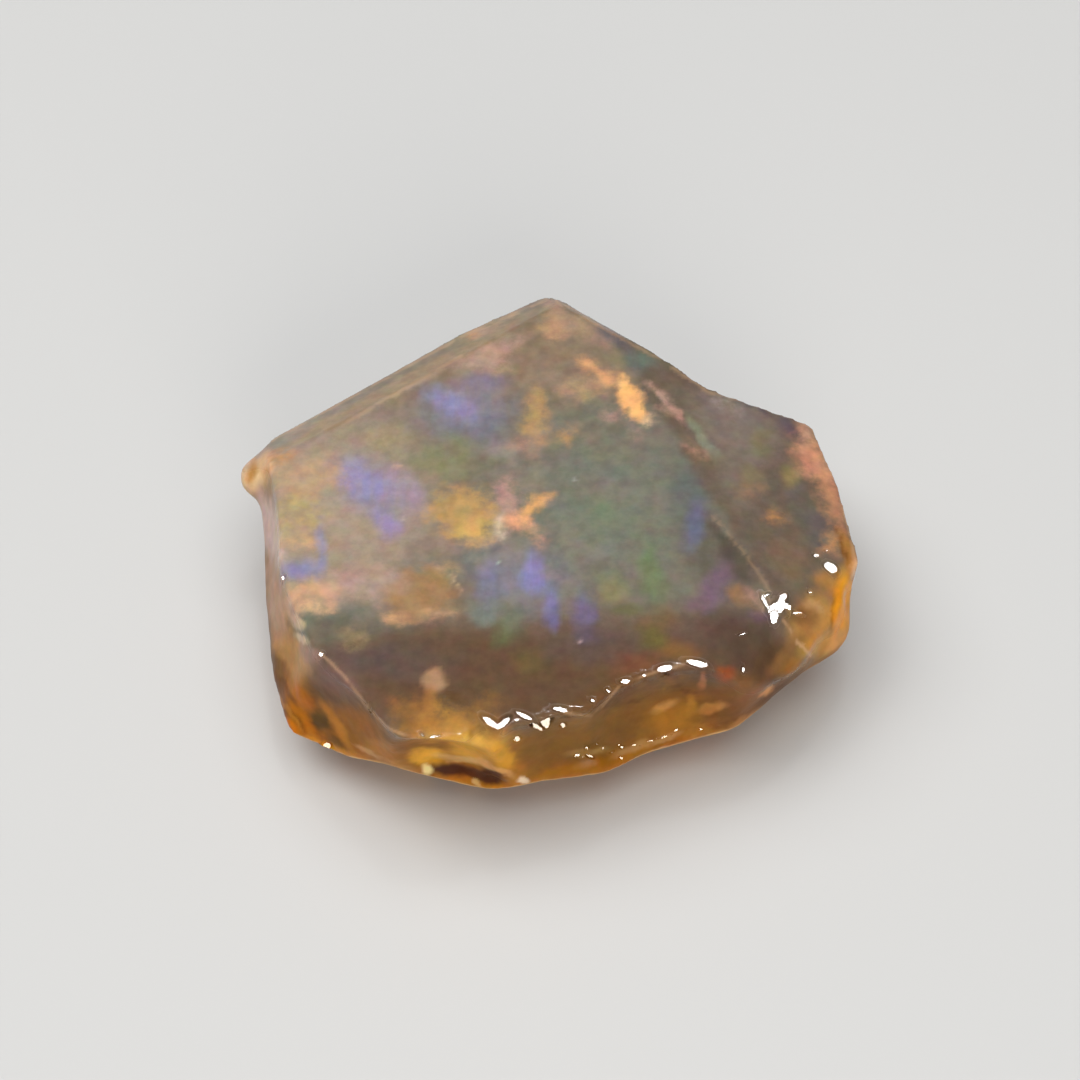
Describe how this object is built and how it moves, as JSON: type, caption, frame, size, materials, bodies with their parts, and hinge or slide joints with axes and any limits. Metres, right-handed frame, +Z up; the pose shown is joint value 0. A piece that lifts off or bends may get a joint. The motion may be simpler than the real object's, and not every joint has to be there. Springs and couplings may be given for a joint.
{
  "type": "rough fire opal",
  "caption": "Broken chip of translucent fire opal with a broad level top face, a sloping side facet, a bevelled back edge and flake-scarred walls. It lies on its flat underside.",
  "frame": {"origin": "the middle of the stone's outline, on the surface that it rests on", "axes": "+Z up, out of the broad top face; -Y towards the thick chipped front; +X to the right as seen from the front"},
  "size_m": [0.019, 0.0182, 0.005],
  "materials": {
    "fire_opal": "glossy broken surface, cloudy and translucent inside, with patches of peach, amber, violet, blue and green"
  },
  "bodies": {
    "root": {"rough_opal": "fire_opal"}
  },
  "joints": []
}
